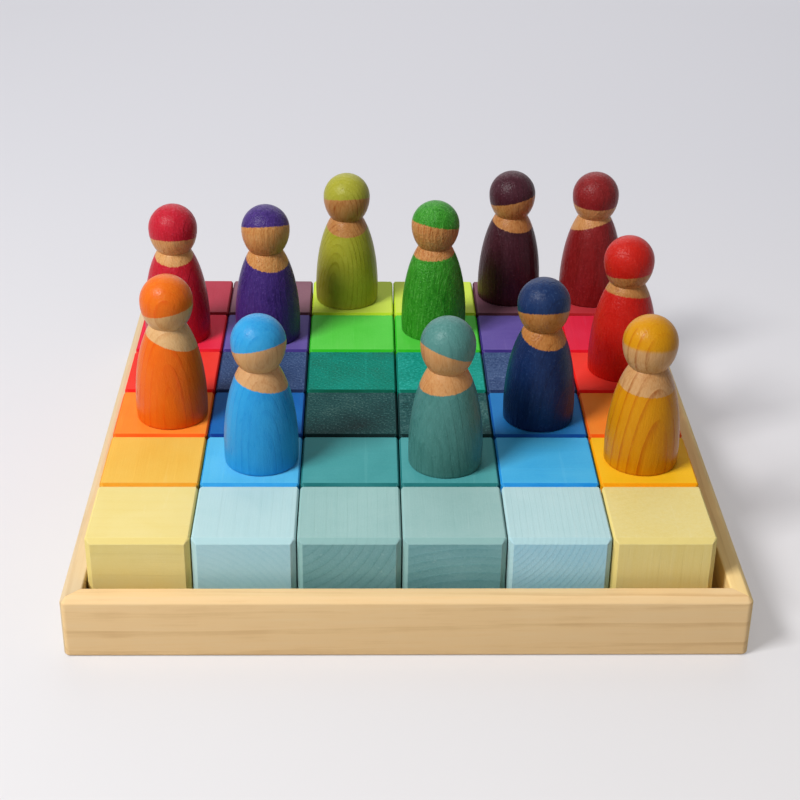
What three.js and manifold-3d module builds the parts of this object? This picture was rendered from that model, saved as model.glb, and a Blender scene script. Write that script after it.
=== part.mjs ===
// Mosaic cube puzzle: stained wooden cubes in a shallow mitred tray, with turned peg figures on top.
// Millimetres, +Z up. The origin is on the table under the middle of the tray, and -Y is the front.
import * as THREE from "three";
import Module from "manifold-3d";
import { ConvexGeometry } from "three/addons/geometries/ConvexGeometry.js";
import { mergeVertices } from "three/addons/utils/BufferGeometryUtils.js";

// Cubes
const cubeSize = 40;
const cubeFrontChamfer = 2;
const cubeUprightChamfer = 1.5;
const cubeEasing = 0.7;
const cubeGap = 0.5;

// Room that the block of cubes has inside the rails
const playLeft = 1.05;
const playRight = 5.45;
const playFront = 5.25;
const playBack = 1.25;

// Tray rails, and the rabbet that the base panel is let into
const railThickness = 8;
const railHeight = 26.5;
const railTopChamfer = 2.1;
const railBottomChamfer = 0.8;
const railInnerChamfer = 0.5;
const topCornerRadius = 0.5;
const mitreGap = 0.3;
const rabbetDepth = 4;

// Base panel
const baseThickness = 3.5;
const baseLift = 1.25;
const basePlay = 0.3;

// Turned figures
const bellyRadius = 15.3;
const bellyHeight = 6.8;
const neckRadius = 7.6;
const neckHeight = 43.2;
const headRadius = 11.2;
const crownRise = 11.3;
const chinDrop = 14.4;
const footChamfer = 0.8;

// Fineness of the round shapes
const figureSides = 20;
const bodySteps = 6;
const headSteps = 7;
const cornerSteps = 3;

// How far a cutting block reaches past what it cuts
const cutReach = 5;

const stains = {
  dark_red: "#a53a4e",
  crimson: "#d3264a",
  red: "#ee3b34",
  orange: "#f2842c",
  amber: "#f5b73c",
  pale_yellow: "#ecdb98",
  aubergine: "#6b3d55",
  violet: "#634b9b",
  navy: "#3d4b79",
  royal_blue: "#2a5fb0",
  sky_blue: "#4da8e6",
  pale_blue: "#bcdce1",
  lime: "#c4d343",
  bright_green: "#56c948",
  emerald: "#1f8a77",
  petrol: "#345e59",
  teal: "#4c9e95",
  pale_teal: "#a2c5bf",
};
const bareWood = "#e6cda2";
const boardWood = "#d9bd92";

// Surface roughness: sanded rails, unfinished board, stained cubes and waxed figures
const railRoughness = 0.6;
const boardRoughness = 0.7;
const cubeRoughness = 0.55;
const figureRoughness = 0.45;

// Stains from the back row to the front row, left edge to middle: the right half mirrors the left half.
const leftHalf = [
  ["dark_red", "aubergine", "lime"],
  ["crimson", "violet", "bright_green"],
  ["red", "navy", "emerald"],
  ["orange", "royal_blue", "petrol"],
  ["amber", "sky_blue", "teal"],
  ["pale_yellow", "pale_blue", "pale_teal"],
];

// Each figure stands on the cube of its own stain, this far to the right of and behind the cube's middle.
const figures = [
  { stain: "dark_red", side: "right", right: -3, behind: 2.9 },
  { stain: "crimson", side: "left", right: -1.7, behind: -1.3 },
  { stain: "red", side: "right", right: 2, behind: 3.3 },
  { stain: "orange", side: "left", right: 3.7, behind: -0.3 },
  { stain: "amber", side: "right", right: -1.1, behind: 1.9 },
  { stain: "aubergine", side: "right", right: -3.2, behind: 3.8 },
  { stain: "violet", side: "left", right: 0.5, behind: -1.5 },
  { stain: "royal_blue", side: "right", right: 0.1, behind: -2.2 },
  { stain: "sky_blue", side: "left", right: 3.9, behind: 1.6 },
  { stain: "lime", side: "left", right: -2.9, behind: -0.5 },
  { stain: "bright_green", side: "right", right: -1.7, behind: 4.4 },
  { stain: "teal", side: "right", right: -1.4, behind: -0.1 },
];

// Sizes that follow from the ones above
const rows = leftHalf.length;
const halfColumns = leftHalf[0].length;
const columns = 2 * halfColumns;
const pitch = cubeSize + cubeGap;
const blockX = columns * pitch - cubeGap;
const blockY = rows * pitch - cubeGap;
const innerX = blockX + playLeft + playRight;
const innerY = blockY + playFront + playBack;
const outerX = innerX + 2 * railThickness;
const outerY = innerY + 2 * railThickness;
const blockCentreX = (playLeft - playRight) / 2;
const blockCentreY = (playFront - playBack) / 2;
const baseTop = baseLift + baseThickness;
const cubeTop = baseTop + cubeSize;

const wasm = await Module();
wasm.setup();

// A closed geometry as a solid that can be cut.
function solidOf(geometry) {
  const bare = geometry.clone();
  bare.deleteAttribute("normal");
  bare.deleteAttribute("uv");
  const merged = mergeVertices(bare);
  return new wasm.Manifold(
    new wasm.Mesh({
      numProp: 3,
      vertProperties: merged.attributes.position.array,
      triVerts: new Uint32Array(merged.index.array),
    }),
  );
}

// What is left of a body when a cutting block is taken out of it.
function cutOut(body, cutter) {
  const cut = solidOf(body).subtract(solidOf(cutter)).getMesh();
  const geometry = new THREE.BufferGeometry();
  geometry.setAttribute("position", new THREE.BufferAttribute(cut.vertProperties, 3));
  geometry.setIndex(new THREE.BufferAttribute(cut.triVerts, 1));
  geometry.computeVertexNormals();
  return geometry;
}

function piece(name, geometry, color, roughness) {
  const material = new THREE.MeshStandardMaterial({ color, roughness, metalness: 0 });
  const mesh = new THREE.Mesh(geometry, material);
  mesh.name = name;
  return mesh;
}

// A cube centred on its own middle: the edges round its front face and its upright back edges are chamfered,
// the others only eased.
function chamferedCube() {
  const face = cubeSize / 2;
  const eased = face - cubeEasing;
  const front = face - cubeFrontChamfer;
  const ends = [
    { y: -1, level: front, upright: front },
    { y: 1, level: eased, upright: face - cubeUprightChamfer },
  ];
  const points = [];
  for (const x of [-1, 1]) {
    for (const z of [-1, 1]) {
      for (const { y, level, upright } of ends) {
        points.push(new THREE.Vector3(x * face, y * upright, z * eased));
        points.push(new THREE.Vector3(x * upright, y * face, z * level));
        points.push(new THREE.Vector3(x * eased, y * level, z * face));
      }
    }
  }
  return new ConvexGeometry(points);
}

// A rail along X with its outer face at y = 0 and its inside towards +Y, mitred at both ends.
// Each outer corner is rounded as far as the mitre, where the next rail carries the round on.
function mitredRail(length) {
  const mitreShift = mitreGap / Math.SQRT2;
  const end = length / 2 - mitreShift;
  const cornerCentre = topCornerRadius + railTopChamfer;
  const outerLevels = [
    { z: 0, inset: railBottomChamfer },
    { z: railBottomChamfer, inset: 0 },
    { z: railHeight - railTopChamfer, inset: 0 },
    { z: railHeight, inset: railTopChamfer },
  ];
  const innerLevels = [
    { z: 0, depth: railThickness },
    { z: railHeight - railInnerChamfer, depth: railThickness },
    { z: railHeight, depth: railThickness - railInnerChamfer },
  ];
  const points = [];
  for (const side of [-1, 1]) {
    for (const { z, inset } of outerLevels) {
      const radius = cornerCentre - inset;
      for (let step = 0; step <= cornerSteps; step++) {
        const angle = (Math.PI / 4) * (step / cornerSteps);
        const x = end - cornerCentre + radius * Math.sin(angle);
        const y = cornerCentre - radius * Math.cos(angle);
        points.push(new THREE.Vector3(side * x, y, z));
      }
    }
    for (const { z, depth } of innerLevels) {
      points.push(new THREE.Vector3(side * (end - depth), depth, z));
    }
  }
  const rabbet = new THREE.BoxGeometry(length, rabbetDepth + cutReach, baseTop + cutReach);
  const rabbetMiddleY = railThickness - rabbetDepth + (rabbetDepth + cutReach) / 2;
  rabbet.translate(0, rabbetMiddleY, baseTop - (baseTop + cutReach) / 2);
  return cutOut(new ConvexGeometry(points), rabbet);
}

// A turned figure standing at its own origin: an elliptic body that meets an egg-shaped head at the neck.
function turnedFigure() {
  const neckShare = Math.sqrt(1 - (neckRadius / bellyRadius) ** 2);
  const bodyRise = (neckHeight - bellyHeight) / neckShare;
  const headCentre = neckHeight + chinDrop * Math.sqrt(1 - (neckRadius / headRadius) ** 2);
  const footAngle = Math.asin((footChamfer - bellyHeight) / bodyRise);
  const neckAngle = Math.asin(neckShare);
  const profile = [
    new THREE.Vector2(0, 0),
    new THREE.Vector2(bellyRadius * Math.cos(footAngle) - footChamfer, 0),
  ];
  for (let step = 0; step <= bodySteps; step++) {
    const angle = THREE.MathUtils.lerp(footAngle, neckAngle, step / bodySteps);
    const radius = bellyRadius * Math.cos(angle);
    profile.push(new THREE.Vector2(radius, bellyHeight + bodyRise * Math.sin(angle)));
  }
  const chinAngle = -Math.acos(neckRadius / headRadius);
  for (let step = 1; step < headSteps; step++) {
    const angle = THREE.MathUtils.lerp(chinAngle, Math.PI / 2, step / headSteps);
    const rise = angle < 0 ? chinDrop : crownRise;
    profile.push(new THREE.Vector2(headRadius * Math.cos(angle), headCentre + rise * Math.sin(angle)));
  }
  profile.push(new THREE.Vector2(0, headCentre + crownRise));
  return new THREE.LatheGeometry(profile, figureSides).rotateX(Math.PI / 2);
}

function addTray(group) {
  const places = [
    { name: "rail_front", length: outerX, x: 0, y: -outerY / 2, turn: 0 },
    { name: "rail_right", length: outerY, x: outerX / 2, y: 0, turn: Math.PI / 2 },
    { name: "rail_back", length: outerX, x: 0, y: outerY / 2, turn: Math.PI },
    { name: "rail_left", length: outerY, x: -outerX / 2, y: 0, turn: -Math.PI / 2 },
  ];
  for (const { name, length, x, y, turn } of places) {
    const rail = piece(name, mitredRail(length), bareWood, railRoughness);
    rail.position.set(x, y, 0);
    rail.rotation.z = turn;
    group.add(rail);
  }
  const reach = 2 * (rabbetDepth - basePlay);
  const panel = new THREE.BoxGeometry(innerX + reach, innerY + reach, baseThickness);
  const base = piece("tray_base", panel, boardWood, boardRoughness);
  base.position.z = baseLift + baseThickness / 2;
  group.add(base);
}

// Middle of a cube's place: column 0 is at the left, row 0 at the back.
function cubePlace(column, row) {
  return {
    x: blockCentreX + (column - (columns - 1) / 2) * pitch,
    y: blockCentreY + ((rows - 1) / 2 - row) * pitch,
  };
}

function addCubes(group) {
  const shape = chamferedCube();
  leftHalf.forEach((stainsInRow, row) => {
    stainsInRow.forEach((stain, column) => {
      const sides = { left: column, right: columns - 1 - column };
      for (const [side, sideColumn] of Object.entries(sides)) {
        const cube = piece(`cube_${stain}_${side}`, shape, stains[stain], cubeRoughness);
        const { x, y } = cubePlace(sideColumn, row);
        cube.position.set(x, y, baseTop + cubeSize / 2);
        group.add(cube);
      }
    });
  });
}

function addFigures(group) {
  const shape = turnedFigure();
  for (const { stain, side, right, behind } of figures) {
    const cube = group.getObjectByName(`cube_${stain}_${side}`);
    const figure = piece(`figure_${stain}`, shape, stains[stain], figureRoughness);
    figure.position.set(cube.position.x + right, cube.position.y + behind, cubeTop);
    group.add(figure);
  }
}

const puzzle = new THREE.Group();
addTray(puzzle);
addCubes(puzzle);
addFigures(puzzle);

export default puzzle;
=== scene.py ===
import math
import random

import bmesh
import bpy
from mathutils import Matrix, Vector


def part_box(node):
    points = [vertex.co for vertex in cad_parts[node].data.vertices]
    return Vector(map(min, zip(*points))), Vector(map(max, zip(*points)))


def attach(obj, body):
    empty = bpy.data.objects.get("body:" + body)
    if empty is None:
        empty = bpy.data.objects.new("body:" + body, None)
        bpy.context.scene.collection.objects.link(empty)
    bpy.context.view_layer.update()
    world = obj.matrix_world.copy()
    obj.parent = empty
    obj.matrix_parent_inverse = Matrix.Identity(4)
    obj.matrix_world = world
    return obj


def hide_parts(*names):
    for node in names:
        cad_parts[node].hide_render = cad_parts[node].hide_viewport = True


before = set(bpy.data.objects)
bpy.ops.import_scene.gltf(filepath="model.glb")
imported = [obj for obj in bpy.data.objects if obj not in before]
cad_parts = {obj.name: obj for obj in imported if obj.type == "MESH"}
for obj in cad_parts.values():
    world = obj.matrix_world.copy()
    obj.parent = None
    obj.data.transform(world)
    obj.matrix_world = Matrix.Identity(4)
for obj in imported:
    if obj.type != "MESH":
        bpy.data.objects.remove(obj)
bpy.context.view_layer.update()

MM = 0.001

# Cubes
CUBE = 40 * MM
CUBE_FRONT_CHAMFER = 2 * MM
CUBE_UPRIGHT_CHAMFER = 1.5 * MM
CUBE_EASING = 0.7 * MM
CUBE_ROUND = 0.22 * MM

# Tray
RAIL_THICKNESS = 8 * MM
RAIL_HEIGHT = 26.5 * MM
RAIL_TOP_CHAMFER = 2.1 * MM
RAIL_BOTTOM_CHAMFER = 0.8 * MM
RAIL_INNER_CHAMFER = 0.5 * MM
CORNER_RADIUS = 2.6 * MM
MITRE_GAP = 0.05 * MM
RABBET_DEPTH = 4 * MM
BASE_TOP = 4.75 * MM
RAIL_LENGTH = 265 * MM
RAIL_ROUND = 0.5 * MM
BASE_EASING = 0.35 * MM

# Turned figures
BELLY_RADIUS = 15.3 * MM
BELLY_HEIGHT = 6.8 * MM
NECK_RADIUS = 7.6 * MM
NECK_HEIGHT = 43.2 * MM
HEAD_RADIUS = 11.2 * MM
CROWN_RISE = 11.3 * MM
CHIN_DROP = 14.4 * MM
FOOT_CHAMFER = 0.8 * MM
FOOT_GAP = 0.02 * MM
FIGURE_SIDES = 80

# Angles in degrees from which an edge shows as a crease
FIGURE_CREASE = 38
RAIL_CREASE = 25

# Camera, found from the corners of the cubes and the tray
CAMERA_PLACE = Vector((-17.19, -650.16, 388.97)) * MM
CAMERA_PITCH = 0.4905
CAMERA_YAW = 0.0252
CAMERA_ROLL = 0.0135
CAMERA_LENS = 74.39
CAMERA_SENSOR = 36.0
CAMERA_NEAR = 0.01

# Light: each lamp's turn from the left towards the front and its height, both in degrees,
# then its distance, width and depth in metres and its power in watts
LAMPS = (
    ("key", 36.5, 49.5, 1.6, 0.5, 0.34, 23.2),
    ("front", 75.0, 28.0, 1.4, 1.2, 1.2, 1.7),
    ("rear", -90.0, 40.0, 1.4, 1.2, 1.2, 5.2),
)
FILL = 0.19

# Floor: its colour in the light, and a lift and a backdrop that only the camera sees. The lift changes
# over the depths from front to back, and over the distances from the middle it fades into the backdrop
FLOOR_COLOUR = "bcbbbd"
FLOOR_ROUGHNESS = 0.9
FLOOR_GLOSS = 0.1
FLOOR_REACH = 9.0
FLOOR_SIDES = 96
FLOOR_LIFT_FRONT = 0.28
FLOOR_LIFT_BACK = 0.265
FLOOR_LIFT_FAR = 0.6
LIFT_COLOUR_FRONT = "fffaf7"
LIFT_COLOUR_BACK = "f2f3ff"
LIFT_DEPTHS = (-0.3, 0.5)
LIFT_DISTANCES = (0.85, 1.7)
SKY_COLOUR = "fbfaff"
BACKDROP = 0.72

# Wood textures: sizes of their noises, and how much each is drawn out along the grain
FIBRE_SCALE = 620.0
PORE_SCALE = 1900.0
DASH_SCALE = 1500.0
MOTTLE_SCALE = 55.0
FLECK_SCALE = 1150.0
YEAR_SCALE = 130.0
SCRATCH_SCALE = 420.0
BLEED_SCALE = 2000.0
FIBRE_DRAW = (1.0, 1.0, 0.045)
DASH_DRAW = (1.0, 1.0, 0.16)
YEAR_DRAW = (1.0, 1.0, 0.04)
SCRATCH_DRAW = (1.0, 0.05, 1.0)
BLEED_DRAW = (1.0, 1.0, 0.2)

# Seeds that set the grain of the pieces apart, and how far along the grain one seed moves it, in metres
FIGURE_SEED = 40
RAIL_SEED = 60
BOARD_SEED = 91
SEED_STEP = 0.37

# Finish of the pieces: least and most roughness, and gloss
CUBE_ROUGHNESS = (0.5, 0.66)
CUBE_GLOSS = 0.07
FIGURE_ROUGHNESS = (0.25, 0.36)
FIGURE_GLOSS = 0.15
RAIL_ROUGHNESS = (0.55, 0.72)
RAIL_GLOSS = 0.12
BOARD_ROUGHNESS = (0.6, 0.78)

# Stains of the cubes
STAINS = {
    "dark_red": "b03b4c",
    "crimson": "e32946",
    "red": "ef3d31",
    "orange": "f2862c",
    "amber": "eab84f",
    "pale_yellow": "e7d48a",
    "aubergine": "7b515f",
    "violet": "66569f",
    "navy": "3c527b",
    "royal_blue": "2879b9",
    "sky_blue": "4eb3e2",
    "pale_blue": "b5d5d7",
    "lime": "d1e755",
    "bright_green": "5cce4b",
    "emerald": "0e8b79",
    "petrol": "225151",
    "teal": "469798",
    "pale_teal": "97bcb8",
}

# Cubes whose grain shows plainly: grain axis, middle of the rings and ring spacing in millimetres
GRAIN = {
    "cube_pale_blue_left": ("Y", (-28, 0, -26), 2.6),
    "cube_pale_blue_right": ("Y", (-34, 0, 30), 2.2),
    "cube_pale_teal_left": ("Y", (-30, 0, 34), 3.6),
    "cube_pale_teal_right": ("Y", (8, 0, -70), 3.6),
    "cube_pale_yellow_left": ("X", (0, -60, 40), 6.0),
    "cube_pale_yellow_right": ("Z", (-30, 60, 0), 3.4),
    "cube_emerald_left": ("Z", (-34, -40, 0), 2.6),
    "cube_emerald_right": ("Z", (30, -46, 0), 2.8),
    "cube_petrol_left": ("Z", (-26, -44, 0), 2.4),
    "cube_petrol_right": ("Z", (-20, 50, 0), 2.4),
    "cube_navy_left": ("Z", (40, 30, 0), 2.2),
    "cube_navy_right": ("Z", (-44, 20, 0), 2.2),
}

# End grain of the cubes that turn it to the front: partly the stain's own colour on end grain, partly
# painted light, lighter and bluer for the light the front faces get
END_STAIN_AND_FRONT_LIGHT = {
    "cube_pale_blue_left": "acd5dd",
    "cube_pale_blue_right": "a4d2e1",
    "cube_pale_teal_left": "7aa8a9",
    "cube_pale_teal_right": "75a6a9",
}

# Wood colour that shows through in the open grain, how much darker the chamfers are, partly from soaked
# stain and partly as painted shade in the gaps between the cubes, and how deep the stain lies on end grain
OPEN_GRAIN = "8f7a4a"
CHAMFER_SHADE_AND_SOAK = 1.8
PALE_CHAMFER_SHADE_AND_SOAK = 1.12
END_SOAK = 1.2

# Cubes that took more or less stain than the other one of their pair
UPTAKE = {
    "cube_orange_left": 0.97,
    "cube_sky_blue_left": 0.91,
    "cube_sky_blue_right": 1.07,
    "cube_royal_blue_left": 1.3,
    "cube_bright_green_right": 1.06,
    "cube_navy_left": 1.06,
    "cube_navy_right": 0.95,
    "cube_emerald_left": 1.16,
    "cube_emerald_right": 0.86,
    "cube_petrol_left": 1.12,
    "cube_teal_right": 0.93,
    "cube_aubergine_left": 0.88,
}

# Cubes from another dye bath than their pair
OWN_STAIN = {
    "cube_dark_red_right": "c0383f",
    "cube_amber_left": "ebb950",
    "cube_amber_right": "f3ba1f",
}

# Figures: bare wood, stain, then the edge of the cap and of the collar,
# each as its height in millimetres and its rise to the right and to the back
FIGURES = {
    "dark_red": ("c58b54", "862021", (50.0, -0.02, 0.03), (39.0, 0.28, -0.18)),
    "crimson": ("d09a5e", "bd1e31", (49.8, 0.0, -0.17), (41.2, -0.02, 0.27)),
    "red": ("b97f46", "c11f14", (48.3, 0.09, -0.12), (38.5, -0.12, -0.14)),
    "orange": ("d1a570", "de6914", (50.8, 0.18, -0.03), (36.8, -0.33, 0.0)),
    "amber": ("c1905c", "c98709", (53.5, -0.04, -0.09), (35.2, -0.03, 0.07)),
    "aubergine": ("b87c45", "421c26", (51.5, 0.24, -0.12), (39.2, -0.14, 0.15)),
    "violet": ("c58c50", "442d74", (55.4, 0.05, -0.30), (39.2, -0.12, 0.25)),
    "royal_blue": ("b07238", "152b54", (51.0, 0.03, -0.26), (39.8, -0.13, 0.27)),
    "sky_blue": ("c49565", "3096ce", (52.6, 0.21, -0.18), (36.8, -0.21, 0.02)),
    "lime": ("b57c45", "a4a133", (53.1, 0.04, -0.27), (39.2, -0.02, 0.25)),
    "bright_green": ("c2854b", "398f25", (54.5, -0.17, -0.17), (39.6, 0.08, 0.04)),
    "teal": ("c18a55", "4e817b", (50.9, -0.37, -0.19), (36.7, 0.12, 0.06)),
}

# Grain of the figures: strength of the ring lines, grit of the pores, a point in the middle of the rings
# and the ring spacing in millimetres, and the lean of the grain
FIGURE_GRAIN = {
    "dark_red": (0.03, 0.6, (20, 14, 20), 3.2, (0.1, -0.08)),
    "crimson": (0.04, 0.6, (-22, 10, 20), 3.0, (-0.06, 0.1)),
    "red": (0.03, 0.6, (16, 20, 20), 3.4, (0.05, 0.12)),
    "orange": (0.13, 0.25, (1, -15, 5), 3.3, (-0.16, 0.0)),
    "amber": (0.26, 0.3, (4.5, -24.5, 6), 4.2, (-0.04, -0.12)),
    "aubergine": (0.05, 0.6, (-18, -16, 20), 2.8, (0.08, 0.06)),
    "violet": (0.03, 0.7, (24, -8, 20), 3.0, (-0.1, 0.05)),
    "royal_blue": (0.04, 0.55, (-20, 18, 20), 3.2, (0.06, -0.12)),
    "sky_blue": (0.1, 0.2, (4, -15, 8), 3.0, (-0.16, 0.0)),
    "lime": (0.2, 0.4, (-7, -13, 12), 2.1, (-0.28, 0.0)),
    "bright_green": (0.05, 1.2, (18, -18, 20), 3.0, (0.03, -0.04)),
    "teal": (0.03, 0.35, (-16, -20, 20), 3.4, (-0.08, 0.1)),
}

# How much darker the bodies are than the caps, as painted shade on their upright sides, and half the blur
# at the edge of a dip in millimetres
BODY_SHADE = 1.08
EDGE_BLUR = 0.22
CAP_BLUR = {"amber": 0.9}

# Base panel: dark, middle and light wood
BOARD_WOOD = ("bd9460", "d9bd92", "e4cda6")

# Bare wood of each rail, its tone set per rail partly as painted light for how much light that rail gets,
# and the brown of its year lines
RAIL_LINE = "b9966f"
RAIL_WOOD_AND_LIGHT = {
    "rail_front": "eeca94",
    "rail_right": "f7d490",
    "rail_back": "edd0a0",
    "rail_left": "d8bf97",
}


def linear(code):
    """A six-digit colour code as linear red, green, blue and alpha."""
    values = [int(code[at:at + 2], 16) / 255 for at in (0, 2, 4)]
    values = [v / 12.92 if v <= 0.04045 else ((v + 0.055) / 1.055) ** 2.4 for v in values]
    return tuple(values) + (1.0,)


def mixed(first, second, share):
    """A colour part of the way from the first to the second."""
    return tuple(a + (b - a) * share for a, b in zip(first, second))


def soaked(colour, take):
    """The same stain on pale wood, soaked in more where the take is above one and less below it."""
    ground = 0.92
    return tuple(ground * (min(v, ground) / ground) ** take for v in colour[:3]) + (1.0,)


# Node helpers

def add(tree, kind, inputs=None, **settings):
    """Adds a shader node, sets it up, and links or fills its inputs."""
    made = tree.nodes.new("ShaderNode" + kind)
    for key, value in settings.items():
        setattr(made, key, value)
    for key, value in (inputs or {}).items():
        socket = made.inputs[key]
        if isinstance(value, bpy.types.NodeSocket):
            tree.links.new(value, socket)
        else:
            socket.default_value = value
    return made


def calc(tree, operation, first, second=0.0, third=0.0):
    """The result of a sum or other operation on up to three values."""
    inputs = {0: first, 1: second, 2: third}
    return add(tree, "Math", inputs, operation=operation).outputs[0]


def span(tree, value, low, high, to_low=0.0, to_high=1.0):
    """Value from low to high as a soft step from one level to another."""
    inputs = {"Value": value, "From Min": low, "From Max": high, "To Min": to_low, "To Max": to_high}
    return add(tree, "MapRange", inputs, interpolation_type="SMOOTHSTEP").outputs["Result"]


def blend(tree, factor, first, second):
    """The first colour where the factor is nought and the second where it is one."""
    made = add(tree, "Mix", data_type="RGBA", blend_type="MIX")
    for index, value in ((0, factor), (6, first), (7, second)):
        if isinstance(value, bpy.types.NodeSocket):
            tree.links.new(value, made.inputs[index])
        else:
            made.inputs[index].default_value = value
    return made.outputs[2]


def ramp(tree, value, stops):
    """A colour ramp through the given places and colours."""
    made = add(tree, "ValToRGB", {"Fac": value})
    band = made.color_ramp.elements
    while len(band) < len(stops):
        band.new(0.5)
    for element, (place, colour) in zip(band, stops):
        element.position = place
        element.color = colour
    return made.outputs["Color"]


def noise(tree, vector, scale, detail=2.0, rough=0.5, warp=0.0):
    """A smooth random value from nought to one at each place."""
    inputs = {"Vector": vector, "Scale": scale, "Detail": detail, "Roughness": rough, "Distortion": warp}
    return add(tree, "TexNoise", inputs).outputs["Fac"]


def scaled(tree, vector, scale):
    """A place with each of its coordinates times its own scale."""
    return add(tree, "Mapping", {"Vector": vector, "Scale": scale}).outputs["Vector"]


def seen_directly(tree):
    """One where the camera looks straight, or through gloss or glass, and nought where light bounces."""
    rays = add(tree, "LightPath").outputs
    seen = calc(tree, "MAXIMUM", rays["Is Camera Ray"], rays["Is Glossy Ray"])
    return calc(tree, "MAXIMUM", seen, rays["Is Transmission Ray"])


# Turn that brings each grain axis upright
GRAIN_TURN = {
    "X": (0.0, -math.pi / 2, 0.0),
    "Y": (math.pi / 2, 0.0, 0.0),
    "Z": (0.0, 0.0, 0.0),
}


def wood(tree, axis, pith, spacing, seed, tilt=(0.0, 0.0), wobble=1.6):
    """Growth rings, fibres, pores and mottling of one piece, along its own grain."""
    turn = Matrix.Identity(3)
    for letter, angle in zip("XYZ", GRAIN_TURN[axis]):
        turn = Matrix.Rotation(angle, 3, letter) @ turn
    lean = Matrix.Rotation(tilt[1], 3, "Y") @ Matrix.Rotation(tilt[0], 3, "X")
    shift = -(lean @ turn @ (Vector(pith) * MM))
    shift.z += SEED_STEP * seed
    angles = (lean @ turn).to_euler("XYZ")
    place = add(tree, "TexCoord")
    inputs = {"Vector": place.outputs["Object"], "Location": shift, "Rotation": angles}
    along = add(tree, "Mapping", inputs).outputs["Vector"]
    inputs = {"Vector": place.outputs["Normal"], "Rotation": angles}
    facing = add(tree, "Mapping", inputs).outputs["Vector"]
    split = add(tree, "SeparateXYZ", {"Vector": facing})
    end = span(tree, calc(tree, "ABSOLUTE", split.outputs["Z"]), 0.55, 0.9)
    # At a scale of one, the wave texture turns by 20 radians in each metre
    rings = add(tree, "TexWave", {
        "Vector": along,
        "Scale": 2 * math.pi / (20 * spacing * MM),
        "Distortion": wobble,
        "Detail": 2.0,
        "Detail Scale": 0.12,
        "Detail Roughness": 0.55,
    }, wave_type="RINGS", rings_direction="Z", wave_profile="SAW").outputs["Fac"]
    long = scaled(tree, along, FIBRE_DRAW)
    return {
        "place": place.outputs["Object"],
        "along": along,
        "end": end,
        "rings": rings,
        "fibre": noise(tree, long, FIBRE_SCALE, 5.0, 0.62),
        "pores": noise(tree, long, PORE_SCALE, 2.0, 0.5),
        "dash": noise(tree, scaled(tree, along, DASH_DRAW), DASH_SCALE, 2.0, 0.55),
        "mottle": noise(tree, along, MOTTLE_SCALE, 3.0, 0.55, 0.4),
        "fleck": noise(tree, along, FLECK_SCALE, 2.0, 0.6),
        "years": noise(tree, scaled(tree, along, YEAR_DRAW), YEAR_SCALE, 1.0),
    }


def late_wood(tree, rings, start=0.35):
    """The dark line at the end of each year's growth, soft on one side."""
    rise = span(tree, rings, start, 0.93)
    fall = span(tree, rings, 0.94, 1.0, 1.0, 0.0)
    return calc(tree, "MULTIPLY", rise, fall)


def tone(tree, parts):
    """Adds up shares of textures about a middle level of one half."""
    level = 0.5
    for value, share in parts:
        level = calc(tree, "MULTIPLY_ADD", calc(tree, "SUBTRACT", value, 0.5), share, level)
    return level


def surface(tree, colour, grain, late, rough, bump, grit=0.0, relief=0.3, gloss=None):
    """Sets colour, roughness, gloss and the raised grain on the material's own shader."""
    shader = tree.nodes["Principled BSDF"]
    if gloss is not None:
        shader.inputs["Specular IOR Level"].default_value = gloss
    tree.links.new(colour, shader.inputs["Base Color"])
    sheen = tone(tree, [(grain["fibre"], 0.8), (grain["mottle"], 0.5)])
    tree.links.new(span(tree, sheen, 0.2, 0.8, *rough), shader.inputs["Roughness"])
    parts = [(grain["fibre"], 0.9), (grain["pores"], 0.5), (late, 0.35), (grain["fleck"], grit)]
    height = tone(tree, parts)
    inputs = {"Height": height, "Strength": bump, "Distance": relief * MM}
    raised = add(tree, "Bump", inputs).outputs["Normal"]
    tree.links.new(raised, shader.inputs["Normal"])


def new_material(name):
    """A new material and its node tree."""
    material = bpy.data.materials.new(name)
    material.use_nodes = True
    return material, material.node_tree


def stained(tree, level, colour, light=None):
    """A stain over the wood's light and dark places, deeper in the dark ones."""
    stops = [(0.1, soaked(colour, 1.35)), (0.5, colour), (0.92, light or soaked(colour, 0.78))]
    return ramp(tree, level, stops)


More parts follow.
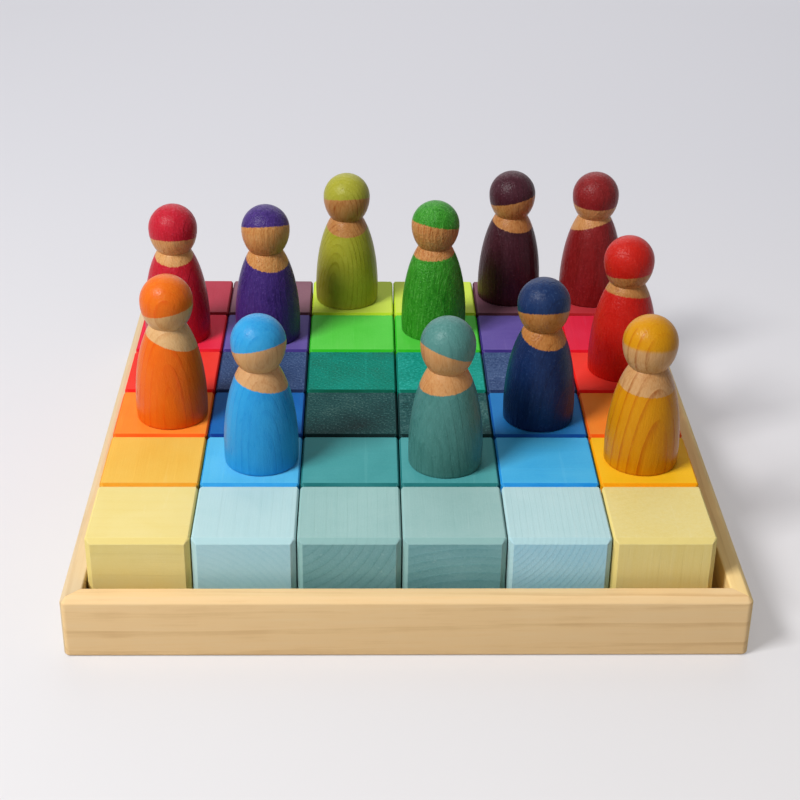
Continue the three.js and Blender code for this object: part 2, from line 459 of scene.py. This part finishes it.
def cube_material(name, stain, seed):
    """Stained cube: colour soaked in along rings and fibres, deeper on the end grain, and darker on the
    chamfers, partly from soaked stain and partly as painted shade in the gaps between the cubes.
    """
    material, tree = new_material(name)
    picker = random.Random(name)
    pith = (picker.uniform(-45, 45), picker.uniform(-45, 45), picker.uniform(-90, -50))
    plain = (picker.choice("XY"), pith, picker.uniform(2.6, 4.2))
    axis, pith, spacing = GRAIN.get(name, plain)
    grain = wood(tree, axis, pith, spacing, seed)
    base = soaked(linear(OWN_STAIN.get(name, stain)), UPTAKE.get(name, 1.0))
    ends = soaked(base, 1.0 if name in GRAIN else END_SOAK)
    # Front end grain of the pale cubes: partly its own stain, partly painted light on the front faces
    if name in END_STAIN_AND_FRONT_LIGHT:
        ends = linear(END_STAIN_AND_FRONT_LIGHT[name])
    pale = "pale" in name
    late = late_wood(tree, grain["rings"])
    upright = axis == "Z" and not pale
    streaked = axis == "Z" and pale
    streaks = 0.5 if streaked else 0.16
    end_rings = -0.02 if streaked else -0.1
    ring_part = calc(tree, "MULTIPLY", late, span(tree, grain["end"], 0.0, 1.0, -0.03, end_rings))
    speck = calc(tree, "SUBTRACT", grain["fleck"], 0.5)
    end_speck = 1.5 if upright else 0.4
    speck_part = calc(tree, "MULTIPLY", speck, span(tree, grain["end"], 0.0, 1.0, 0.2, end_speck))
    parts = [(grain["fibre"], streaks), (grain["mottle"], 0.8 if upright else 0.42)]
    level = calc(tree, "ADD", tone(tree, parts), calc(tree, "ADD", ring_part, speck_part))
    face = stained(tree, level, base)
    light = mixed(soaked(base, 0.72), linear(OPEN_GRAIN), 0.14) if "petrol" in name else None
    colour = blend(tree, grain["end"], face, stained(tree, level, ends, light))
    # Painted glints: light flecks on the end-grain tops of the dark cubes stand in for the sparkle of
    # their gloss
    if upright:
        glint = calc(tree, "MULTIPLY", span(tree, grain["fleck"], 0.6, 0.7, 0.0, 0.6), grain["end"])
        colour = blend(tree, glint, colour, soaked(base, 0.55))
    turned = (0.0, 0.0, picker.uniform(0.0, math.pi))
    inputs = {"Vector": grain["place"], "Rotation": turned, "Scale": SCRATCH_DRAW}
    scratch_place = add(tree, "Mapping", inputs).outputs["Vector"]
    scratch = noise(tree, scratch_place, SCRATCH_SCALE, 2.0, 0.5, 0.3)
    colour = blend(tree, span(tree, scratch, 0.67, 0.73, 0.0, 0.16), colour, soaked(base, 0.7))
    # Darker chamfers: partly stain soaked into them, partly painted shade in the gaps between the cubes
    edge = add(tree, "Attribute", attribute_name="edge").outputs["Fac"]
    chamfer = soaked(base, PALE_CHAMFER_SHADE_AND_SOAK if pale else CHAMFER_SHADE_AND_SOAK)
    cover = calc(tree, "MULTIPLY", edge, span(tree, grain["mottle"], 0.2, 0.7, 0.6, 0.95))
    colour = blend(tree, cover, colour, chamfer)
    rim = span(tree, calc(tree, "ABSOLUTE", calc(tree, "SUBTRACT", edge, 0.4)), 0.0, 0.3, 0.4, 0.0)
    colour = blend(tree, rim, colour, soaked(base, 0.7))
    nick = span(tree, grain["pores"], 0.72, 0.8, 0.0, 0.3)
    colour = blend(tree, nick, colour, soaked(base, 1.5))
    grit = 0.9 if upright else 0.25
    surface(tree, colour, grain, late, CUBE_ROUGHNESS, 0.3, grit, gloss=CUBE_GLOSS)
    return material


def figure_material(stain):
    """Turned figure: bare wood with a dipped cap and a dipped body, each with a slightly ragged edge."""
    bare_code, coat_code, cap, collar = FIGURES[stain]
    rings, grit, pith, spacing, lean = FIGURE_GRAIN[stain]
    material, tree = new_material("figure_" + stain)
    picker = random.Random("figure_" + stain)
    grain = wood(tree, "Z", pith, spacing, FIGURE_SEED + picker.random() * 20, lean)
    late = late_wood(tree, grain["rings"], 0.3 + 0.9 * rings)
    late = calc(tree, "MULTIPLY", late, span(tree, grain["years"], 0.35, 0.65, 0.25, 1.3))
    late = calc(tree, "MULTIPLY", late, span(tree, grain["end"], 0.0, 1.0, 1.0, 0.4))
    parts = [(grain["fibre"], 0.2 + 0.5 * grit), (grain["mottle"], 0.45)]
    level = calc(tree, "MULTIPLY_ADD", late, -rings, calc(tree, "ADD", tone(tree, parts), 0.2 * rings))
    dash = calc(tree, "SUBTRACT", grain["dash"], 0.5)
    speck = calc(tree, "SUBTRACT", grain["fleck"], 0.5)
    top_speck = calc(tree, "MULTIPLY", speck, span(tree, grain["end"], 0.0, 1.0, 0.35 * grit, 0.3 + grit))
    bare_level = calc(tree, "MULTIPLY_ADD", dash, 0.35 + 0.7 * grit, level)
    coat_level = calc(tree, "ADD", calc(tree, "MULTIPLY_ADD", dash, 0.7 * grit, level), top_speck)
    bare = linear(bare_code)
    coat = linear(coat_code)
    # The body's coat is a darker copy of the cap's: painted shade for its upright sides
    body = soaked(coat, BODY_SHADE)
    wood_stops = [(0.02, soaked(bare, 2.0)), (0.5, bare), (0.95, soaked(bare, 0.75))]
    wood_colour = ramp(tree, bare_level, wood_stops)
    cap_stops = [(0.02, soaked(coat, 1.6)), (0.5, coat), (0.98, soaked(coat, 0.8))]
    cap_colour = ramp(tree, coat_level, cap_stops)
    body_stops = [(0.02, soaked(body, 1.6)), (0.5, body), (0.98, soaked(body, 0.8))]
    body_colour = ramp(tree, coat_level, body_stops)
    # Light dots: pale flecks of the wood, and on the caps also painted glints
    fleck_and_glint_dots = span(tree, grain["fleck"], 0.63, 0.7, 0.0, 0.5 * grit)
    dashes = span(tree, grain["dash"], 0.6, 0.68, 0.0, 0.36 * grit * grit)
    cap_colour = blend(tree, fleck_and_glint_dots, cap_colour, soaked(coat, 0.5))
    body_colour = blend(tree, calc(tree, "MAXIMUM", fleck_and_glint_dots, dashes), body_colour, soaked(body, 0.6))
    bleed = noise(tree, scaled(tree, grain["along"], BLEED_DRAW), BLEED_SCALE, 2.0)
    reach = (0.5 + 1.3 * grit) * MM
    ragged = calc(tree, "MULTIPLY_ADD", bleed, reach, -0.5 * reach)
    cap_blur = CAP_BLUR.get(stain, EDGE_BLUR) * MM
    body_blur = EDGE_BLUR * MM
    sides = []
    for height, right, back in (cap, collar):
        inputs = {0: grain["place"], 1: (-right, -back, 1.0)}
        along = add(tree, "VectorMath", inputs, operation="DOT_PRODUCT").outputs["Value"]
        above = calc(tree, "SUBTRACT", calc(tree, "ADD", along, ragged), height * MM)
        sides.append(above)
    cap_share = span(tree, sides[0], -cap_blur, cap_blur)
    body_share = span(tree, sides[1], -body_blur, body_blur, 1.0, 0.0)
    colour = blend(tree, cap_share, wood_colour, cap_colour)
    colour = blend(tree, body_share, colour, body_colour)
    relief = 0.2 + 0.5 * grit
    surface(tree, colour, grain, late, FIGURE_ROUGHNESS, 0.5, 0.4 + 0.8 * grit, relief, FIGURE_GLOSS)
    return material


def rail_material(name, seed):
    """Bare pale wood with long straight grain, as sanded rails show it."""
    material, tree = new_material(name)
    grain = wood(tree, "X", (0, 70, -34), 5.0, seed, (0.0, 0.012), 2.4)
    late = late_wood(tree, grain["rings"], 0.5)
    late = calc(tree, "MULTIPLY", late, span(tree, grain["years"], 0.3, 0.7, 0.3, 1.4))
    parts = [(grain["fibre"], 0.7), (grain["mottle"], 0.3)]
    level = calc(tree, "MULTIPLY_ADD", late, -0.22, calc(tree, "ADD", tone(tree, parts), 0.06))
    # Each rail's tone is partly painted light for the light that rail gets
    base = linear(RAIL_WOOD_AND_LIGHT[name])
    line = mixed(soaked(base, 1.3), linear(RAIL_LINE), 0.5)
    stops = [(0.05, line), (0.5, base), (0.95, soaked(base, 0.85))]
    colour = ramp(tree, level, stops)
    surface(tree, colour, grain, late, RAIL_ROUGHNESS, 0.18, gloss=RAIL_GLOSS)
    return material


def board_material():
    """Thin board of the base: a quieter face with short fibres."""
    material, tree = new_material("tray_base")
    grain = wood(tree, "Y", (0, 0, -300), 7.0, BOARD_SEED, (0.0, 0.0), 3.0)
    late = late_wood(tree, grain["rings"])
    parts = [(grain["fibre"], 0.6), (grain["mottle"], 0.5), (grain["fleck"], 0.2)]
    level = calc(tree, "MULTIPLY_ADD", late, -0.2, calc(tree, "ADD", tone(tree, parts), 0.08))
    stops = [(place, linear(code)) for place, code in zip((0.05, 0.5, 0.95), BOARD_WOOD)]
    colour = ramp(tree, level, stops)
    surface(tree, colour, grain, late, BOARD_ROUGHNESS, 0.2)
    return material


# Mesh helpers

def crisp_normals(mesh):
    """Smooth shading that leaves each large flat face flat.

    A corner takes the normal of its largest face, or the middle one where faces are about as large.
    """
    normals = [Vector() for _ in mesh.vertices]
    largest = [0.0] * len(mesh.vertices)
    for face in mesh.polygons:
        face.use_smooth = True
        for index in face.vertices:
            if face.area > largest[index] * 1.5:
                largest[index] = face.area
                normals[index] = face.normal.copy()
            elif face.area > largest[index] * 0.66:
                normals[index] = (normals[index] + face.normal).normalized()
    mesh.normals_split_custom_set_from_vertices(normals)


def place_piece(name, mesh, place, material, body, node):
    """Puts a finished mesh where its node is, on that node's body."""
    piece = bpy.data.objects.new(name, mesh)
    bpy.context.scene.collection.objects.link(piece)
    piece.matrix_world = place
    mesh.materials.append(material)
    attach(piece, body)
    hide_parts(node)


def cube_mesh(name):
    """A cube with its front edges chamfered, the others eased and all of them softened.

    The edge mark is nought on the six faces, one on the chamfers and between them half.
    """
    shape = bmesh.new()
    side = CUBE / 2
    eased = side - CUBE_EASING
    front = side - CUBE_FRONT_CHAMFER
    ends = ((-1, front, front), (1, eased, side - CUBE_UPRIGHT_CHAMFER))
    for x in (-1, 1):
        for z in (-1, 1):
            for y, level, upright in ends:
                shape.verts.new((x * side, y * upright, z * eased))
                shape.verts.new((x * upright, y * side, z * level))
                shape.verts.new((x * eased, y * level, z * side))
    bmesh.ops.convex_hull(shape, input=shape.verts[:])
    bmesh.ops.dissolve_limit(
        shape, angle_limit=math.radians(1), verts=shape.verts[:], edges=shape.edges[:],
    )
    bmesh.ops.bevel(
        shape, geom=shape.edges[:], offset=CUBE_ROUND, offset_type="OFFSET",
        segments=2, profile=0.5, affect="EDGES", clamp_overlap=True,
    )
    mesh = bpy.data.meshes.new(name)
    shape.to_mesh(mesh)
    shape.free()
    marks = [0.5] * len(mesh.vertices)
    for face in mesh.polygons:
        slope = sorted(abs(part) for part in face.normal)
        flat = slope[2] > 0.9999
        bevelled = abs(slope[2] - slope[1]) < 0.01
        if flat or bevelled:
            for index in face.vertices:
                marks[index] = 0.0 if flat else 1.0
    edge = mesh.attributes.new("edge", "FLOAT", "POINT")
    edge.data.foreach_set("value", marks)
    crisp_normals(mesh)
    return mesh


def spun(name, profile, sides):
    """A closed mesh turned from a profile of radius and height, from bottom middle to top middle."""
    shape = bmesh.new()
    rows = []
    for radius, height in profile:
        if radius < 1e-9:
            rows.append([shape.verts.new((0.0, 0.0, height))])
            continue
        row = []
        for step in range(sides):
            angle = 2 * math.pi * step / sides
            row.append(shape.verts.new((radius * math.cos(angle), radius * math.sin(angle), height)))
        rows.append(row)
    for low, high in zip(rows, rows[1:]):
        for step in range(sides):
            after = (step + 1) % sides
            if len(low) == 1:
                shape.faces.new((low[0], high[after], high[step]))
            elif len(high) == 1:
                shape.faces.new((low[step], low[after], high[0]))
            else:
                shape.faces.new((low[step], low[after], high[after], high[step]))
    mesh = bpy.data.meshes.new(name)
    shape.to_mesh(mesh)
    shape.free()
    for face in mesh.polygons:
        face.use_smooth = True
    mesh.set_sharp_from_angle(angle=math.radians(FIGURE_CREASE))
    return mesh


def figure_profile():
    """Outline of a figure as radius and height: flat foot, egg-shaped body and a head long at the chin."""
    neck_share = math.sqrt(1 - (NECK_RADIUS / BELLY_RADIUS) ** 2)
    rise = (NECK_HEIGHT - BELLY_HEIGHT) / neck_share
    head_centre = NECK_HEIGHT + CHIN_DROP * math.sqrt(1 - (NECK_RADIUS / HEAD_RADIUS) ** 2)
    foot = math.asin((FOOT_CHAMFER - BELLY_HEIGHT) / rise)
    neck = math.asin(neck_share)
    foot_radius = BELLY_RADIUS * math.cos(foot)
    profile = [(0.0, 0.0), (0.6 * foot_radius, 0.0)]
    foot_steps = 4
    for step in range(foot_steps + 1):
        angle = math.pi / 2 * step / foot_steps
        radius = foot_radius - FOOT_CHAMFER * (1 - math.sin(angle))
        profile.append((radius, FOOT_CHAMFER * (1 - math.cos(angle))))
    body_steps = 34
    for step in range(1, body_steps + 1):
        angle = foot + (neck - foot) * step / body_steps
        profile.append((BELLY_RADIUS * math.cos(angle), BELLY_HEIGHT + rise * math.sin(angle)))
    chin = -math.acos(NECK_RADIUS / HEAD_RADIUS)
    head_steps = 36
    for step in range(1, head_steps):
        angle = chin + (math.pi / 2 - chin) * step / head_steps
        reach = CHIN_DROP if angle < 0 else CROWN_RISE
        profile.append((HEAD_RADIUS * math.cos(angle), head_centre + reach * math.sin(angle)))
    profile.append((0.0, head_centre + CROWN_RISE))
    return profile


def rounded(points, radius):
    """A closed outline with each corner rounded by up to the radius."""
    steps = 3
    outline = []
    count = len(points)
    for index in range(count):
        before = Vector(points[index - 1])
        corner = Vector(points[index])
        after = Vector(points[(index + 1) % count])
        reach = min(radius, 0.4 * (before - corner).length, 0.4 * (after - corner).length)
        first = corner + (before - corner).normalized() * reach
        last = corner + (after - corner).normalized() * reach
        for step in range(steps + 1):
            share = step / steps
            bend = (1 - share) ** 2 * first + 2 * share * (1 - share) * corner + share ** 2 * last
            outline.append((bend.x, bend.y))
    return outline


def rail_mesh(name):
    """A rail along X, outer face at y = 0, mitred at both ends and rounded at the outer corners."""
    outline = rounded([
        (RAIL_BOTTOM_CHAMFER, 0.0),
        (0.0, RAIL_BOTTOM_CHAMFER),
        (0.0, RAIL_HEIGHT - RAIL_TOP_CHAMFER),
        (RAIL_TOP_CHAMFER, RAIL_HEIGHT),
        (RAIL_THICKNESS - RAIL_INNER_CHAMFER, RAIL_HEIGHT),
        (RAIL_THICKNESS, RAIL_HEIGHT - RAIL_INNER_CHAMFER),
        (RAIL_THICKNESS, BASE_TOP),
        (RAIL_THICKNESS - RABBET_DEPTH, BASE_TOP),
        (RAIL_THICKNESS - RABBET_DEPTH, 0.0),
    ], RAIL_ROUND)
    end = RAIL_LENGTH / 2 - MITRE_GAP / math.sqrt(2)
    corner_steps = 6
    shape = bmesh.new()
    rows = []
    for depth, height in outline:
        radius = max(CORNER_RADIUS - depth, 0.0)
        middle = max(depth, CORNER_RADIUS)
        places = []
        for step in range(corner_steps + 1):
            angle = math.pi / 4 * (1 - step / corner_steps)
            places.append((end - middle + radius * math.sin(angle), middle - radius * math.cos(angle)))
        row = [shape.verts.new((-x, y, height)) for x, y in places]
        row += [shape.verts.new((x, y, height)) for x, y in reversed(places)]
        rows.append(row)
    count = len(rows)
    for index in range(count):
        low = rows[index]
        high = rows[(index + 1) % count]
        for step in range(len(low) - 1):
            shape.faces.new((low[step], low[step + 1], high[step + 1], high[step]))
    shape.faces.new([row[0] for row in rows])
    shape.faces.new([row[-1] for row in reversed(rows)])
    bmesh.ops.remove_doubles(shape, verts=shape.verts[:], dist=1e-7)
    bmesh.ops.recalc_face_normals(shape, faces=shape.faces[:])
    mesh = bpy.data.meshes.new(name)
    shape.to_mesh(mesh)
    shape.free()
    for face in mesh.polygons:
        face.use_smooth = True
    mesh.set_sharp_from_angle(angle=math.radians(RAIL_CREASE))
    return mesh


def base_mesh(name, size):
    """The base panel, with its sawn edges eased."""
    shape = bmesh.new()
    bmesh.ops.create_cube(shape, size=1.0)
    bmesh.ops.scale(shape, vec=size, verts=shape.verts[:])
    bmesh.ops.bevel(
        shape, geom=shape.edges[:], offset=BASE_EASING, offset_type="OFFSET",
        segments=2, profile=0.5, affect="EDGES",
    )
    mesh = bpy.data.meshes.new(name)
    shape.to_mesh(mesh)
    shape.free()
    crisp_normals(mesh)
    return mesh


# Cubes

for number, (stain, code) in enumerate(STAINS.items()):
    for side in ("left", "right"):
        node = "cube_" + stain + "_" + side
        low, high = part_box(node)
        place = Matrix.Translation((low + high) / 2)
        material = cube_material(node, code, 2 * number + (side == "right"))
        body = stain + "_cube_" + side
        mesh = cube_mesh(node)
        place_piece("piece_" + node, mesh, place, material, body, node)

# Figures

for stain in FIGURES:
    node = "figure_" + stain
    low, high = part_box(node)
    place = Matrix.Translation(((low.x + high.x) / 2, (low.y + high.y) / 2, low.z + FOOT_GAP))
    mesh = spun(node, figure_profile(), FIGURE_SIDES)
    material = figure_material(stain)
    body = stain + "_figure"
    place_piece("piece_" + node, mesh, place, material, body, node)

# Tray

half = RAIL_LENGTH / 2
rails = (
    ("rail_front", (0.0, -half, 0.0), 0.0),
    ("rail_right", (half, 0.0, 0.0), math.pi / 2),
    ("rail_back", (0.0, half, 0.0), math.pi),
    ("rail_left", (-half, 0.0, 0.0), -math.pi / 2),
)
for number, (node, spot, turn) in enumerate(rails):
    place = Matrix.Translation(spot) @ Matrix.Rotation(turn, 4, "Z")
    material = rail_material(node, RAIL_SEED + 3 * number)
    place_piece("piece_" + node, rail_mesh(node), place, material, "tray", node)

low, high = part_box("tray_base")
panel = base_mesh("tray_base", high - low)
place = Matrix.Translation((low + high) / 2)
place_piece("piece_tray_base", panel, place, board_material(), "tray", "tray_base")

# Floor

floor_mesh = bpy.data.meshes.new("floor")
rim = []
for step in range(FLOOR_SIDES):
    angle = 2 * math.pi * step / FLOOR_SIDES
    rim.append((FLOOR_REACH * math.cos(angle), FLOOR_REACH * math.sin(angle), 0.0))
floor_mesh.from_pydata(rim, [], [tuple(range(FLOOR_SIDES))])
floor = bpy.data.objects.new("floor", floor_mesh)
bpy.context.scene.collection.objects.link(floor)
floor_material, floor_tree = new_material("floor")
floor_shader = floor_tree.nodes["Principled BSDF"]
floor_shader.inputs["Base Color"].default_value = linear(FLOOR_COLOUR)
floor_place = add(floor_tree, "TexCoord").outputs["Object"]
floor_depth = add(floor_tree, "SeparateXYZ", {"Vector": floor_place}).outputs["Y"]
floor_away = add(floor_tree, "VectorMath", {0: floor_place}, operation="LENGTH").outputs["Value"]
back = span(floor_tree, floor_depth, *LIFT_DEPTHS)
far = span(floor_tree, floor_away, *LIFT_DISTANCES)
lift_colour = blend(floor_tree, back, linear(LIFT_COLOUR_FRONT), linear(LIFT_COLOUR_BACK))
lift_colour = blend(floor_tree, far, lift_colour, linear(SKY_COLOUR))
floor_tree.links.new(lift_colour, floor_shader.inputs["Emission Color"])
lift = span(floor_tree, floor_depth, *LIFT_DEPTHS, FLOOR_LIFT_FRONT, FLOOR_LIFT_BACK)
lift = span(floor_tree, floor_away, *LIFT_DISTANCES, lift, FLOOR_LIFT_FAR)
lift = calc(floor_tree, "MULTIPLY", seen_directly(floor_tree), lift)
floor_tree.links.new(lift, floor_shader.inputs["Emission Strength"])
floor_shader.inputs["Roughness"].default_value = FLOOR_ROUGHNESS
floor_shader.inputs["Specular IOR Level"].default_value = FLOOR_GLOSS
floor_mesh.materials.append(floor_material)

# Light

for name, turn, height, distance, width, depth, power in LAMPS:
    lamp = bpy.data.lights.new(name, "AREA")
    lamp.shape = "RECTANGLE"
    lamp.size = width
    lamp.size_y = depth
    lamp.energy = power
    flat = math.cos(math.radians(height))
    towards = Vector((
        -flat * math.cos(math.radians(turn)),
        -flat * math.sin(math.radians(turn)),
        math.sin(math.radians(height)),
    ))
    holder = bpy.data.objects.new(name, lamp)
    holder.location = towards * distance
    holder.rotation_euler = towards.to_track_quat("Z", "Y").to_euler()
    bpy.context.scene.collection.objects.link(holder)

world = bpy.data.worlds.new("studio")
bpy.context.scene.world = world
world.use_nodes = True
background = world.node_tree.nodes["Background"]
background.inputs["Color"].default_value = linear(SKY_COLOUR)
strength = span(world.node_tree, seen_directly(world.node_tree), 0.0, 1.0, FILL, BACKDROP)
world.node_tree.links.new(strength, background.inputs["Strength"])

# Camera

ahead = Vector((
    math.sin(CAMERA_YAW) * math.cos(CAMERA_PITCH),
    math.cos(CAMERA_YAW) * math.cos(CAMERA_PITCH),
    -math.sin(CAMERA_PITCH),
))
level = Vector((math.cos(CAMERA_YAW), -math.sin(CAMERA_YAW), 0.0))
upright = level.cross(ahead)
across = level * math.cos(CAMERA_ROLL) + upright * math.sin(CAMERA_ROLL)
above = upright * math.cos(CAMERA_ROLL) - level * math.sin(CAMERA_ROLL)
lens = bpy.data.cameras.new("camera")
lens.sensor_width = CAMERA_SENSOR
lens.lens = CAMERA_LENS
lens.clip_start = CAMERA_NEAR
camera = bpy.data.objects.new("camera", lens)
turned = Matrix((across, above, -ahead)).transposed()
camera.matrix_world = Matrix.Translation(CAMERA_PLACE) @ turned.to_4x4()
bpy.context.scene.collection.objects.link(camera)
bpy.context.scene.camera = camera
bpy.context.scene.view_settings.view_transform = "Standard"
